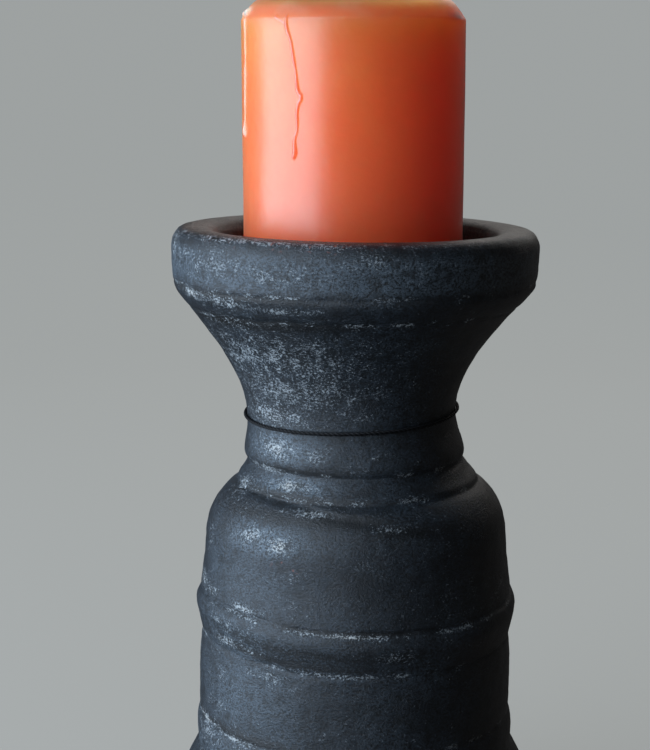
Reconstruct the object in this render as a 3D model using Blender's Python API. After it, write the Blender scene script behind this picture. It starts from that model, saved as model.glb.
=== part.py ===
"""Pillar candle holder: a hand-thrown, hollow ceramic stand with a dished rim, a cord tied round its
neck, felt pads under its foot, and a part-burnt pillar candle seated loosely in the dish.

The frame is in metres, with +Z up and its origin on the shelf, under the middle of the foot.
"""

import math

import bmesh
import bpy
from mathutils import Matrix, Vector

# Clearance kept between two pieces that touch on the real object.
GAP = 0.0003

# Felt pads under the foot.
PAD_COUNT = 4
PAD_RADIUS = 0.0045
PAD_THICKNESS = 0.0015
PAD_RING_RADIUS = 0.0515
PAD_EDGE = 0.0002

# Ceramic holder. A drop is a distance below the plane of the rim.
HOLDER_HEIGHT = 0.1965
FOOT_Z = PAD_THICKNESS + GAP
RIM_Z = FOOT_Z + HOLDER_HEIGHT
DISH_RADIUS = 0.0435
DISH_DROP = 0.012
DISH_FILLET = 0.002
DISH_FLOOR_THICKNESS = 0.0075
FOOT_RADIUS = 0.0562
FOOT_INNER_RADIUS = 0.0465
FOOT_RING_EDGE = 0.0015
NECK_RADIUS = 0.0336

# The outside, as (radius, drop). A smooth curve runs through each section, and sections meet in a crease.
RIM_BAND = (
    (DISH_RADIUS, 0.0038),
    (0.0450, 0.0014),
    (0.0478, 0.0003),
    (0.0520, 0.0),
    (0.0555, 0.0008),
    (0.0573, 0.0034),
    (0.0577, 0.0075),
    (0.0572, 0.0157),
)
BAND_SKIRT = (
    (0.0572, 0.0157),
    (0.0566, 0.0182),
    (0.0548, 0.0208),
    (0.0523, 0.0237),
)
BOWL_AND_NECK = (
    (0.0523, 0.0237),
    (0.0469, 0.0300),
    (0.0400, 0.0396),
    (0.0353, 0.0493),
    (0.0335, 0.0570),
    (NECK_RADIUS, 0.0635),
    (0.0351, 0.0700),
    (0.0344, 0.0736),
)
SHOULDER_ROLL = (
    (0.0344, 0.0736),
    (0.0353, 0.0752),
    (0.0367, 0.0772),
    (0.0380, 0.0788),
    (0.0387, 0.0806),
)
SHOULDER = (
    (0.0387, 0.0806),
    (0.0422, 0.0832),
    (0.0461, 0.0886),
    (0.0480, 0.0946),
    (0.0488, 0.1054),
    (0.0502, 0.1164),
)
UPPER_BELT = (
    (0.0502, 0.1164),
    (0.0515, 0.1195),
    (0.0515, 0.1222),
    (0.0505, 0.1266),
    (0.0497, 0.1304),
)
BELLY = (
    (0.0497, 0.1304),
    (0.0503, 0.1400),
    (0.0505, 0.1564),
)
LOWER_BELT = (
    (0.0505, 0.1564),
    (0.0515, 0.1610),
    (0.0513, 0.1679),
)
FOOT_FLARE = (
    (0.0513, 0.1679),
    (0.0534, 0.1718),
    (0.0558, 0.1765),
    (0.0574, 0.1825),
    (0.0577, 0.1885),
    (FOOT_RADIUS, HOLDER_HEIGHT),
)

# The inside of the shell, from the foot up to the underside of the dish.
HOLLOW = (
    (FOOT_INNER_RADIUS + FOOT_RING_EDGE, HOLDER_HEIGHT),
    (FOOT_INNER_RADIUS, HOLDER_HEIGHT - FOOT_RING_EDGE),
    (0.0448, 0.1720),
    (0.0432, 0.1510),
    (0.0424, 0.1260),
    (0.0412, 0.1035),
    (0.0385, 0.0935),
    (0.0310, 0.0850),
    (0.0268, 0.0780),
    (0.0262, 0.0670),
    (0.0264, 0.0575),
    (0.0290, 0.0468),
    (0.0345, 0.0355),
    (0.0398, 0.0275),
    (0.0392, 0.0222),
    (0.0350, DISH_DROP + DISH_FLOOR_THICKNESS),
    (0.0, DISH_DROP + DISH_FLOOR_THICKNESS),
)

# Cord round the neck. Its plane leans down to the left (-X) and to the front (-Y).
CORD_RADIUS = 0.0006
CORD_RING_RADIUS = NECK_RADIUS + GAP + CORD_RADIUS
CORD_DROP = 0.0584
CORD_LEAN_LEFT = 0.0010
CORD_LEAN_FRONT = 0.0012
CORD_POINTS = 72
KNOT_HALF = Vector((0.0019, 0.0013, 0.0016))

# Candle, seated on the dish floor.
CANDLE_RADIUS = 0.0348
CANDLE_ABOVE_RIM = 0.0701
CANDLE_EDGE_RADIUS = 0.0044
CANDLE_BASE_EDGE = 0.0010
CANDLE_BASE_Z = RIM_Z - DISH_DROP + GAP
CANDLE_TOP_Z = RIM_Z + CANDLE_ABOVE_RIM
POOL_RADIUS = 0.0285
POOL_FLOOR_RADIUS = 0.0235
POOL_DEPTH = 0.0060
POOL_MIDDLE_RADIUS = 0.0129
POOL_MIDDLE_RISE = 0.0001
POOL_EDGE_RISE = 0.0008
POOL_LIP_DROP = 0.0006

# Wick, and the metal tab that holds its foot.
WICK_RADIUS = 0.0014
WICK_BORE_RADIUS = WICK_RADIUS + GAP
WICK_RISE = 0.0125
WICK_CURL_RADIUS = 0.0045
WICK_CURL_ANGLE = math.radians(55)
WICK_CURL_POINTS = 9
WICK_STEM_POINTS = 4
TAB_RADIUS = 0.0100
TAB_THICKNESS = 0.0006
TAB_TUBE_RADIUS = 0.0024
TAB_TUBE_HEIGHT = 0.0060

# How finely round shapes are divided.
TURN_STEPS = 40
CURVE_STEPS = 2
ARC_STEPS = 4
TUBE_RESOLUTION = 2
PAD_SEGMENTS = 24
MERGE_DISTANCE = 0.00001


def clear_scene():
    for obj in list(bpy.data.objects):
        bpy.data.objects.remove(obj, do_unlink=True)


def make_material(name, colour, roughness, metallic=0.0):
    material = bpy.data.materials.new(name)
    material.use_nodes = True
    shader = material.node_tree.nodes["Principled BSDF"]
    shader.inputs["Base Color"].default_value = (*colour, 1.0)
    shader.inputs["Roughness"].default_value = roughness
    shader.inputs["Metallic"].default_value = metallic
    material.diffuse_color = (*colour, 1.0)
    return material


def add_object(name, data, material):
    data.materials.append(material)
    obj = bpy.data.objects.new(name, data)
    bpy.context.scene.collection.objects.link(obj)
    return obj


def smooth_run(points, steps=CURVE_STEPS):
    """The points joined by a Catmull-Rom curve, with that many pieces from each point to the next."""
    pts = [Vector(p) for p in points]
    padded = [2 * pts[0] - pts[1], *pts, 2 * pts[-1] - pts[-2]]
    run = []
    for a, b, c, d in zip(padded, padded[1:], padded[2:], padded[3:]):
        for i in range(steps):
            t = i / steps
            straight = 2 * b + (c - a) * t
            bend = (2 * a - 5 * b + 4 * c - d) * t**2 + (3 * b - 3 * c + d - a) * t**3
            run.append(0.5 * (straight + bend))
    return [*run, pts[-1]]


def joined(*runs):
    """The runs end to end, with each point that two runs share kept once."""
    outline = []
    for run in runs:
        for point in run:
            if not outline or (point - outline[-1]).length > MERGE_DISTANCE:
                outline.append(point)
    return outline


def arc(centre, radius, start, end):
    """Points of a circular arc in the (radius, height) plane, with the angles in degrees."""
    angles = [math.radians(start + (end - start) * i / ARC_STEPS) for i in range(ARC_STEPS + 1)]
    return [Vector((centre[0] + radius * math.cos(a), centre[1] + radius * math.sin(a))) for a in angles]


def turn(name, outline, material, closed=False):
    """A solid of revolution about +Z. The outline's (radius, height) points run down its outer side."""
    mesh = bpy.data.meshes.new(name)
    edges = [(i, i + 1) for i in range(len(outline) - 1)]
    if closed:
        edges.append((len(outline) - 1, 0))
    mesh.from_pydata([(r, 0.0, z) for r, z in outline], edges, [])
    obj = add_object(name, mesh, material)
    screw = obj.modifiers.new("Turn", "SCREW")
    screw.axis = "Z"
    screw.steps = TURN_STEPS
    screw.render_steps = TURN_STEPS
    screw.use_merge_vertices = True
    screw.merge_threshold = MERGE_DISTANCE
    screw.use_smooth_shade = True
    return obj


def tube(name, points, radius, material):
    """A round cord along the points, with flat ends."""
    curve = bpy.data.curves.new(name, "CURVE")
    curve.dimensions = "3D"
    curve.bevel_depth = radius
    curve.bevel_resolution = TUBE_RESOLUTION
    curve.use_fill_caps = True
    spline = curve.splines.new("POLY")
    spline.points.add(len(points) - 1)
    for place, point in zip(spline.points, points):
        place.co = (*point, 1.0)
    return add_object(name, curve, material)


def make_holder(material):
    """One hollow ceramic shell: dish, rolled rim, bowl, neck, shoulder, body with two belts, and foot."""
    fillet = arc((DISH_RADIUS - DISH_FILLET, -DISH_DROP + DISH_FILLET), DISH_FILLET, -90, 0)
    dish = [Vector((0.0, -DISH_DROP)), *fillet]
    sections = (
        RIM_BAND,
        BAND_SKIRT,
        BOWL_AND_NECK,
        SHOULDER_ROLL,
        SHOULDER,
        UPPER_BELT,
        BELLY,
        LOWER_BELT,
        FOOT_FLARE,
    )
    outside = [[Vector((r, -drop)) for r, drop in smooth_run(section)] for section in sections]
    hollow = [Vector((r, -drop)) for r, drop in HOLLOW]
    outline = joined(dish, *outside, hollow)
    holder = turn("holder_body", [(r, z) for r, z in outline], material)
    holder.location.z = RIM_Z


def cord_drop(angle):
    """How far below the rim the cord's centre is, at an angle from +X."""
    return CORD_DROP - CORD_LEAN_LEFT * math.cos(angle) - CORD_LEAN_FRONT * math.sin(angle)


def make_neck_cord(material):
    """The loop, whose two ends run into the knot at the back."""
    half_opening = (KNOT_HALF.x + GAP) / CORD_RING_RADIUS
    first = math.pi / 2 + half_opening
    sweep = 2 * math.pi - 2 * half_opening
    angles = [first + sweep * i / (CORD_POINTS - 1) for i in range(CORD_POINTS)]
    points = [
        (CORD_RING_RADIUS * math.cos(a), CORD_RING_RADIUS * math.sin(a), RIM_Z - cord_drop(a))
        for a in angles
    ]
    tube("neck_cord", points, CORD_RADIUS, material)


def make_knot(material):
    mesh = bpy.data.meshes.new("neck_cord_knot")
    shape = bmesh.new()
    bmesh.ops.create_icosphere(shape, subdivisions=2, radius=1.0, matrix=Matrix.Diagonal((*KNOT_HALF, 1.0)))
    shape.to_mesh(mesh)
    shape.free()
    mesh.shade_smooth()
    knot = add_object("neck_cord_knot", mesh, material)
    behind = CORD_RING_RADIUS - CORD_RADIUS + KNOT_HALF.y
    knot.location = (0.0, behind, RIM_Z - cord_drop(math.pi / 2))


def make_felt_pads(material):
    """Round pads on the foot ring, between the axes, so that the holder stands on four places."""
    mesh = bpy.data.meshes.new("felt_pad")
    shape = bmesh.new()
    bmesh.ops.create_cone(
        shape,
        cap_ends=True,
        segments=PAD_SEGMENTS,
        radius1=PAD_RADIUS,
        radius2=PAD_RADIUS,
        depth=PAD_THICKNESS,
        matrix=Matrix.Translation((0.0, 0.0, PAD_THICKNESS / 2)),
    )
    rims = [e for e in shape.edges if len({round(v.co.z, 6) for v in e.verts}) == 1]
    bmesh.ops.bevel(shape, geom=rims, offset=PAD_EDGE, segments=1, affect="EDGES")
    shape.to_mesh(mesh)
    shape.free()
    mesh.materials.append(material)
    for i in range(PAD_COUNT):
        angle = 2 * math.pi * (i + 0.5) / PAD_COUNT
        pad = bpy.data.objects.new(f"felt_pad_{i + 1}", mesh)
        bpy.context.scene.collection.objects.link(pad)
        pad.location = (PAD_RING_RADIUS * math.cos(angle), PAD_RING_RADIUS * math.sin(angle), 0.0)


def make_candle(material):
    """The wax: a burnt pool on top, rounded shoulders, and a bore and a recess for the wick and its tab."""
    top = CANDLE_TOP_Z - CANDLE_BASE_Z
    pool_floor = top - POOL_DEPTH
    pool = smooth_run(
        (
            (POOL_MIDDLE_RADIUS, pool_floor + POOL_MIDDLE_RISE),
            (POOL_FLOOR_RADIUS, pool_floor + POOL_EDGE_RISE),
            (0.5 * (POOL_FLOOR_RADIUS + POOL_RADIUS), top - 0.5 * POOL_DEPTH),
            (POOL_RADIUS, top - POOL_LIP_DROP),
            (CANDLE_RADIUS - CANDLE_EDGE_RADIUS, top),
        )
    )
    shoulder = arc((CANDLE_RADIUS - CANDLE_EDGE_RADIUS, top - CANDLE_EDGE_RADIUS), CANDLE_EDGE_RADIUS, 90, 0)
    base_edge = arc((CANDLE_RADIUS - CANDLE_BASE_EDGE, CANDLE_BASE_EDGE), CANDLE_BASE_EDGE, 0, -90)
    recess_radius = TAB_RADIUS + GAP
    recess_top = TAB_THICKNESS + GAP
    tube_bore = TAB_TUBE_RADIUS + GAP
    tube_bore_top = TAB_TUBE_HEIGHT + GAP
    inside = [
        Vector((recess_radius, 0.0)),
        Vector((recess_radius, recess_top)),
        Vector((tube_bore, recess_top)),
        Vector((tube_bore, tube_bore_top)),
        Vector((WICK_BORE_RADIUS, tube_bore_top)),
        Vector((WICK_BORE_RADIUS, pool_floor)),
    ]
    outline = joined(pool, shoulder, base_edge, inside)
    candle = turn("pillar_candle", [(r, z) for r, z in outline], material, closed=True)
    candle.location.z = CANDLE_BASE_Z
    return candle


def make_wick(material):
    """A cotton wick up through the wax, whose burnt tip curls over to the right (+X)."""
    stem_top = CANDLE_TOP_Z - CANDLE_BASE_Z - POOL_DEPTH + WICK_RISE
    curl_start = stem_top - WICK_CURL_RADIUS * math.sin(WICK_CURL_ANGLE)
    points = [(0.0, 0.0, curl_start * i / WICK_STEM_POINTS) for i in range(WICK_STEM_POINTS)]
    for i in range(WICK_CURL_POINTS):
        angle = WICK_CURL_ANGLE * i / (WICK_CURL_POINTS - 1)
        across = WICK_CURL_RADIUS * (1 - math.cos(angle))
        points.append((across, 0.0, curl_start + WICK_CURL_RADIUS * math.sin(angle)))
    return tube("candle_wick", points, WICK_RADIUS, material)


def make_wick_tab(material):
    """A pressed metal disc with a crimped tube, flush with the underside of the wax."""
    outline = [
        (WICK_BORE_RADIUS, TAB_TUBE_HEIGHT),
        (TAB_TUBE_RADIUS, TAB_TUBE_HEIGHT),
        (TAB_TUBE_RADIUS, TAB_THICKNESS),
        (TAB_RADIUS, TAB_THICKNESS),
        (TAB_RADIUS, 0.0),
        (WICK_BORE_RADIUS, 0.0),
    ]
    return turn("wick_sustainer", outline, material, closed=True)


def main():
    clear_scene()
    make_holder(make_material("slate_ceramic", (0.050, 0.056, 0.060), 0.75))
    cord = make_material("black_cord", (0.012, 0.011, 0.011), 0.85)
    make_neck_cord(cord)
    make_knot(cord)
    make_felt_pads(make_material("grey_felt", (0.080, 0.078, 0.075), 0.95))
    candle = make_candle(make_material("orange_wax", (0.780, 0.180, 0.030), 0.40))
    wick = make_wick(make_material("burnt_cotton", (0.030, 0.026, 0.022), 0.90))
    tab = make_wick_tab(make_material("tinned_steel", (0.620, 0.620, 0.600), 0.35, metallic=1.0))
    wick.parent = candle
    tab.parent = candle


main()
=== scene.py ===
"""Looks of the pillar candle holder: a dry-brushed slate ceramic stand, a twisted cord tied round its
neck, felt pads, and a part-burnt orange wax candle. Lengths are in metres, and angles in degrees unless
a name says otherwise. An angle round the object counts from the front (-Y) towards the right (+X).
"""

import math

import bpy
import numpy as np
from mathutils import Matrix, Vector, noise


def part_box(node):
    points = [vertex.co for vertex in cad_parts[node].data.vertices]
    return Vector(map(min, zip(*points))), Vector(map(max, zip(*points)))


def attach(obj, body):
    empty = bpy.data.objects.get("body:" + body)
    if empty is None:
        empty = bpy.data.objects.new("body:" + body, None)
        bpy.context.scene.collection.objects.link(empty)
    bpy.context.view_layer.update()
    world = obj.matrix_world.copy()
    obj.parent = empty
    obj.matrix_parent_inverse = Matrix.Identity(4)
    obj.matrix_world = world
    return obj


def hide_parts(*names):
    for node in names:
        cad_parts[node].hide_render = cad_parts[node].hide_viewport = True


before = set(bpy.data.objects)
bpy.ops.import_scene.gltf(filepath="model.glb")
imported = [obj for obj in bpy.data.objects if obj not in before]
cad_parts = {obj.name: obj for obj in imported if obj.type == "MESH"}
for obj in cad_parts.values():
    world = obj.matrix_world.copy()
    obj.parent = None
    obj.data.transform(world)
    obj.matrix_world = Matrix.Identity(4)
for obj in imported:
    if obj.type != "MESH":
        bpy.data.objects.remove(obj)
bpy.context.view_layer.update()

RIM_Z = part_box("holder_body")[1].z
HOLDER_HEIGHT = RIM_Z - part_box("holder_body")[0].z
CANDLE_BASE_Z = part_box("pillar_candle")[0].z
CANDLE_TOP_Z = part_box("pillar_candle")[1].z

# Ceramic holder. A drop is a distance below the plane of the rim.
DISH_RADIUS = 0.0435
DISH_DROP = 0.012
DISH_FILLET = 0.002
FOOT_INNER_RADIUS = 0.0480
UNDER_DISH_DROP = 0.0195

# The outside, as (radius, drop). A smooth curve runs through each section, and sections meet in a crease.
OUTSIDE = {
    "rim_band": (
        (DISH_RADIUS, 0.0038),
        (0.0450, 0.0014),
        (0.0478, 0.0003),
        (0.0520, 0.0),
        (0.0555, 0.0008),
        (0.0573, 0.0034),
        (0.0577, 0.0075),
        (0.0572, 0.0157),
    ),
    "band_skirt": (
        (0.0572, 0.0157),
        (0.0566, 0.0182),
        (0.0548, 0.0208),
        (0.0523, 0.0237),
    ),
    "bowl_and_neck": (
        (0.0523, 0.0237),
        (0.0469, 0.0300),
        (0.0400, 0.0396),
        (0.0353, 0.0493),
        (0.0335, 0.0570),
        (0.0336, 0.0635),
        (0.0351, 0.0700),
        (0.0344, 0.0736),
    ),
    "shoulder_roll": (
        (0.0344, 0.0736),
        (0.0353, 0.0752),
        (0.0367, 0.0772),
        (0.0380, 0.0788),
        (0.0387, 0.0806),
    ),
    "shoulder": (
        (0.0387, 0.0806),
        (0.0422, 0.0832),
        (0.0461, 0.0886),
        (0.0480, 0.0946),
        (0.0488, 0.1054),
        (0.0502, 0.1164),
    ),
    "upper_belt": (
        (0.0502, 0.1164),
        (0.0515, 0.1195),
        (0.0515, 0.1222),
        (0.0505, 0.1266),
        (0.0497, 0.1304),
    ),
    "belly": (
        (0.0497, 0.1304),
        (0.0503, 0.1400),
        (0.0505, 0.1564),
    ),
    "lower_belt": (
        (0.0505, 0.1564),
        (0.0515, 0.1610),
        (0.0513, 0.1679),
    ),
    "foot_flare": (
        (0.0513, 0.1679),
        (0.0534, 0.1718),
        (0.0558, 0.1765),
        (0.0574, 0.1825),
        (0.0577, 0.1885),
        (0.0562, HOLDER_HEIGHT),
    ),
}

# The inside of the shell, from the foot up to the underside of the dish.
HOLLOW = (
    (0.0465, 0.1950),
    (0.0448, 0.1720),
    (0.0432, 0.1510),
    (0.0424, 0.1260),
    (0.0412, 0.1035),
    (0.0385, 0.0935),
    (0.0310, 0.0850),
    (0.0268, 0.0780),
    (0.0262, 0.0670),
    (0.0264, 0.0575),
    (0.0290, 0.0468),
    (0.0345, 0.0355),
    (0.0398, 0.0275),
    (0.0392, 0.0222),
    (0.0350, UNDER_DISH_DROP),
)

# How finely the clay is divided.
HOLDER_SEGMENTS = 360
MEASURE_SPACING = 0.0001
TRACE_SPACING = 0.0002
GROOVE_SPACING = 0.0005
GROOVE_REACH = 0.0020
FINE_SPACING = 0.0013
COARSE_SPACING = 0.0080
FLOOR_SPACING = 0.0030
MIDDLE_RADIUS = 0.0015

# Heights over which the surface goes from true to straying, above the dish's floor and above the foot.
DISH_TRUE_HEIGHT = 0.003
FOOT_TRUE_HEIGHT = 0.004

# Grooves that run round the clay where two sections meet, as (drop, depth, half width).
GROOVES = (
    (0.0163, 0.00045, 0.0007),
    (0.0238, 0.00035, 0.0006),
    (0.0735, 0.00040, 0.0009),
    (0.0806, 0.00022, 0.0009),
    (0.1166, 0.00050, 0.0006),
    (0.1306, 0.00040, 0.0006),
    (0.1566, 0.00035, 0.0007),
    (0.1679, 0.00035, 0.0007),
)

# How the thrown clay strays from round: sideways shifts towards +X, as (drop, shift).
LEAN = (
    (0.000, 0.0007),
    (0.018, 0.0002),
    (0.027, -0.0004),
    (0.040, -0.0010),
    (0.058, -0.0008),
    (0.067, 0.0),
    (0.080, 0.0012),
    (0.092, 0.0009),
    (0.125, 0.0009),
    (0.158, 0.0004),
    (0.180, 0.0007),
    (HOLDER_HEIGHT, 0.0007),
)

# How far the rim dips towards +X at the dish's radius, and the drop at which the dip has faded.
RIM_TILT = 0.0006
RIM_TILT_REACH = 0.035

# Waves, throwing marks and grit on the surface: how far across, and how high.
LOBE_SIZE = 0.060
LOBE_HEIGHT = 0.00045
LUMP_SIZE = 0.019
LUMP_HEIGHT = 0.00030
MARK_WIDTH = 0.030
MARK_PITCH = 0.0024
MARK_HEIGHT = 0.00012
GRIT_SIZE = 0.0045
GRIT_HEIGHT = 0.00014

# How unevenly the grooves are worn, and how far they wander up and down.
GROOVE_WEAR = 0.6
GROOVE_WEAR_SPREAD = 0.9
GROOVE_WEAR_SIZE = 0.009
GROOVE_WANDER = 0.0009
GROOVE_WANDER_SIZE = 0.010

# How far the upper belt dips round the body, as (angle, extra drop).
BELT_MIDDLE_DROP = 0.123
BELT_REACH = 0.012
BELT_WANDER = (
    (-180, -0.0003),
    (-90, -0.0008),
    (-68, -0.0024),
    (-50, -0.0020),
    (-38, -0.0011),
    (-18, 0.0002),
    (5, 0.0009),
    (32, 0.0014),
    (55, 0.0006),
    (90, 0.0),
    (180, -0.0003),
)

# A shallow groove that winds down over the shoulder, as (angle, drop).
SPIRAL = ((-75, 0.0790), (-25, 0.0818), (-8, 0.0836), (22, 0.0870), (40, 0.0915), (65, 0.0960))
SPIRAL_DEPTH = 0.00080
SPIRAL_WIDTH = 0.0009
SPIRAL_FADES_IN = (-80, -45)
SPIRAL_FADES_OUT = (35, 65)

# Places where the dry brush caught the clay; on the lit left, those on the collar, the shoulder roll and
# the upper body are made stronger to paint highlights: angle, drop, half width in degrees, half height,
# strength.
BRUSHED_AND_PAINTED_HIGHLIGHTS = (
    (-80, 0.0025, 14, 0.0020, 0.75),
    (-72, 0.006, 12, 0.0060, 0.60),
    (-47, 0.008, 16, 0.0050, 0.80),
    (-24, 0.010, 13, 0.0045, 0.75),
    (2, 0.005, 10, 0.0035, 0.70),
    (14, 0.007, 16, 0.0040, 0.35),
    (-30, 0.0006, 50, 0.0013, 0.95),
    (-60, 0.0178, 9, 0.0020, 1.00),
    (-44, 0.0188, 12, 0.0022, 0.95),
    (-22, 0.0200, 12, 0.0014, 0.85),
    (-44, 0.0255, 24, 0.0030, 0.55),
    (-34, 0.0360, 44, 0.0100, 0.74),
    (-28, 0.0470, 46, 0.0090, 0.74),
    (-46, 0.0560, 30, 0.0050, 0.80),
    (0, 0.0545, 16, 0.0022, 0.55),
    (-45, 0.0655, 18, 0.0042, 0.95),
    (0, 0.0700, 12, 0.0014, 0.45),
    (-22, 0.0665, 12, 0.0030, 0.65),
    (10, 0.0672, 3, 0.0012, 0.95),
    (32, 0.0700, 5, 0.0010, 0.60),
    (-52, 0.0728, 20, 0.0013, 0.90),
    (-33, 0.0765, 14, 0.0022, 1.10),
    (-70, 0.0795, 10, 0.0030, 0.90),
    (-20, 0.0830, 12, 0.0012, 0.90),
    (14, 0.0865, 10, 0.0010, 0.80),
    (-42, 0.0912, 12, 0.0030, 0.90),
    (-30, 0.0922, 8, 0.0032, 1.00),
    (3, 0.0970, 7, 0.0030, 0.45),
    (-72, 0.0960, 10, 0.0060, 0.35),
    (-24, 0.1010, 8, 0.0020, 0.50),
    (-78, 0.1120, 10, 0.0035, 0.85),
    (-66, 0.1135, 8, 0.0030, 0.75),
    (-44, 0.1145, 10, 0.0018, 0.85),
    (-4, 0.1173, 24, 0.0008, 1.00),
    (36, 0.1176, 16, 0.0006, 0.75),
    (-50, 0.1215, 14, 0.0030, 0.50),
    (12, 0.1235, 7, 0.0025, 0.60),
    (-52, 0.1275, 16, 0.0014, 0.90),
    (-16, 0.1300, 24, 0.0010, 0.85),
    (-32, 0.1335, 12, 0.0030, 0.65),
    (-60, 0.1380, 14, 0.0050, 0.40),
    (-70, 0.1555, 18, 0.0014, 1.00),
    (-48, 0.1565, 18, 0.0012, 0.90),
    (-60, 0.1480, 12, 0.0040, 0.50),
    (-66, 0.1590, 16, 0.0050, 0.70),
    (-66, 0.1690, 16, 0.0030, 0.70),
)

# Crevices, where pits crowd together and their dark colour paints shade into the creases: angle, drop, half
# width in degrees, half height, strength.
PITS_AND_CREASE_SHADE = (
    (-44, 0.0170, 34, 0.0008, 0.80),
    (-36, 0.0250, 34, 0.0014, 1.00),
    (-38, 0.0722, 28, 0.0009, 1.00),
    (-34, 0.0797, 30, 0.0013, 1.00),
    (-8, 0.0845, 20, 0.0017, 1.00),
    (20, 0.0880, 18, 0.0014, 0.80),
    (-40, 0.0850, 26, 0.0016, 0.60),
    (-2, 0.1165, 28, 0.0006, 1.00),
    (-20, 0.1240, 40, 0.0016, 0.60),
    (-30, 0.1278, 34, 0.0010, 1.00),
    (-50, 0.1550, 36, 0.0010, 0.80),
    (-36, 0.1675, 40, 0.0010, 0.80),
)

# Broad areas under a thin pale veil, which on the lit left also paints the highlights of the collar, the
# shoulder roll and the upper body: angle, drop, half width in degrees, half height, strength.
VEILED_AND_PAINTED_HIGHLIGHTS = (
    (-44, 0.0655, 22, 0.0045, 1.00),
    (-33, 0.0768, 17, 0.0026, 1.40),
    (-37, 0.0915, 16, 0.0042, 1.20),
    (-50, 0.1060, 22, 0.0120, 0.30),
    (-50, 0.1240, 24, 0.0080, 0.45),
    (-48, 0.1430, 26, 0.0110, 0.45),
    (-46, 0.1650, 30, 0.0080, 0.60),
)

# The rim band's own veil: its strength, the drops over which it begins and ends, and its inner radius.
BAND_VEIL = 0.50
BAND_VEIL_BEGINS = (0.003, 0.006)
BAND_VEIL_ENDS = (0.0135, 0.0160)
BAND_RADIUS = 0.05
VEIL_FROM_BRUSH = 0.20

# Creases whose edges catch the brush all round, and how wide each catches.
CATCHING_DROPS = (0.0158, 0.0239, 0.0727, 0.0800, 0.1173, 0.1300, 0.1560, 0.1680, 0.1830)
CATCHING_WIDTH = 0.0009
CATCHING_STRENGTH = 0.75
BREAK_SIZE = 0.006
FAINT_CATCH = 0.12

# Loose patches of brushed colour, mostly on the side that faces away.
PATCH_SIZE = 0.013
PATCH_STRETCH = 4.0
PATCH_STRENGTH = 0.60
FRONT_CALM = 0.85
FRONT_HALF_WIDTH = 95

# The brown of the dish, and how far it reaches over the rim.
BROWN_DISH_RADIUS = 0.0475
BROWN_TOP_RADIUS = 0.0557
BROWN_TOP_FADE = 0.0025
BROWN_TOP_DROPS = (0.0015, 0.0035)
BROWN_LOWEST_DROP = 0.02
BROWN_HIDES_BRUSH = 0.25

# Spots of bare red clay, with their numbers in the same order as in the dry-brush table.
BARE_RIM = (-14, 0.0010, 26, 0.0012, 1.0)
BARE_CHIP = (-27, 0.0990, 4, 0.0020, 1.0)

# Cord round the neck. Its plane leans down to the left (-X) and to the front (-Y). A twist is a number of
# strands, how far each is from the middle, its radius, the length of a turn, and its number of sides.
CORD_RADIUS = 0.0006
CORD_DROP = 0.0584
CORD_LEAN_LEFT = 0.0010
CORD_LEAN_FRONT = 0.0012
CORD_RING_RADIUS = 0.0345
CORD_POINTS = 72
CORD_STEPS = 800
CORD_TWIST = (2, 0.00024, 0.00036, 0.0031, 8)
KNOT_HALF_WIDTH = 0.0019
KNOT_BEHIND = 0.0016
KNOT_LOOP = (0.00048, 0.00055, 0.00042)
KNOT_POINTS = 40
KNOT_STEPS = 90

# The knot's tails: their length, the share of it that is downwards, how far below the cord they start, the
# degrees they spread (at the start, steadily, and with the square), and how far they first stand off.
TAIL_LENGTH = 0.0095
TAIL_FALL = 0.75
TAIL_BELOW = 0.0008
TAIL_SPREAD = (0.5, 6.5, 3)
TAIL_STAND_OFF = 0.0009
TAIL_POINTS = 12

# Candle. The points of its worn shoulder are (inset, drop) from the side and from the top.
CANDLE_SHIFT = -0.0003
CANDLE_RADIUS = 0.0346
CANDLE_TAPER = 0.0002
SHOULDER = ((0.0, 0.0066), (0.0005, 0.0056), (0.0023, 0.0030), (0.0040, 0.0010), (0.0055, 0.0))
BASE_EDGE = 0.0010

# Heights above the rim over which the wax's colour goes from painted shade low down to a painted glow at
# the top, where light soaks in from above, and over which its top is softened.
PAINTED_GLOW_HEIGHTS = (0.0, 0.056)
SOFT_WAX = (0.060, 0.068)

# Melt pool, and the holes for the wick and its tab.
POOL_RADIUS = 0.0285
POOL_FLOOR_RADIUS = 0.0235
POOL_DEPTH = 0.0060
POOL_MIDDLE = 0.55
POOL_MIDDLE_RISE = 0.0002
POOL_EDGE_RISE = 0.0008
POOL_LIP_DROP = 0.0006
BORE_RADIUS = 0.0017
TAB_RECESS_RADIUS = 0.0103
TAB_RECESS_DEPTH = 0.0009
TAB_TUBE_BORE = 0.0027
TAB_TUBE_DEPTH = 0.0063

# How finely the wax is divided, and the lowest height above the rim that a run can reach.
POOL_SPACING = 0.0009
SHOULDER_SPACING = 0.0005
RUNS_SPACING = 0.0006
PLAIN_SPACING = 0.0018
UNDER_SPACING = 0.003
RUNS_END = 0.020

# Unevenness of the wax: how far across, and how high.
SAG_SIZE = 0.014
SAG_HEIGHT = 0.00050
SWELL_SIZE = 0.024
SWELL_HEIGHT = 0.00016
RIPPLE_SIZE = 0.012
RIPPLE_HEIGHT = 0.00045

# Dust and soot on the wax. The marks have their numbers in the same order as in the dry-brush table, with
# heights for drops.
SPILL_BLOOM = (-78, 0.0662, 6, 0.0014, 0.80)
SOOT_MARK = (66, 0.0641, 9, 0.0010, 0.85)
DUST_SIZE = 0.008
DUST = 0.08
WICK_SOOT = 0.75
WICK_SOOT_RADIUS = 0.006

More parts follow.
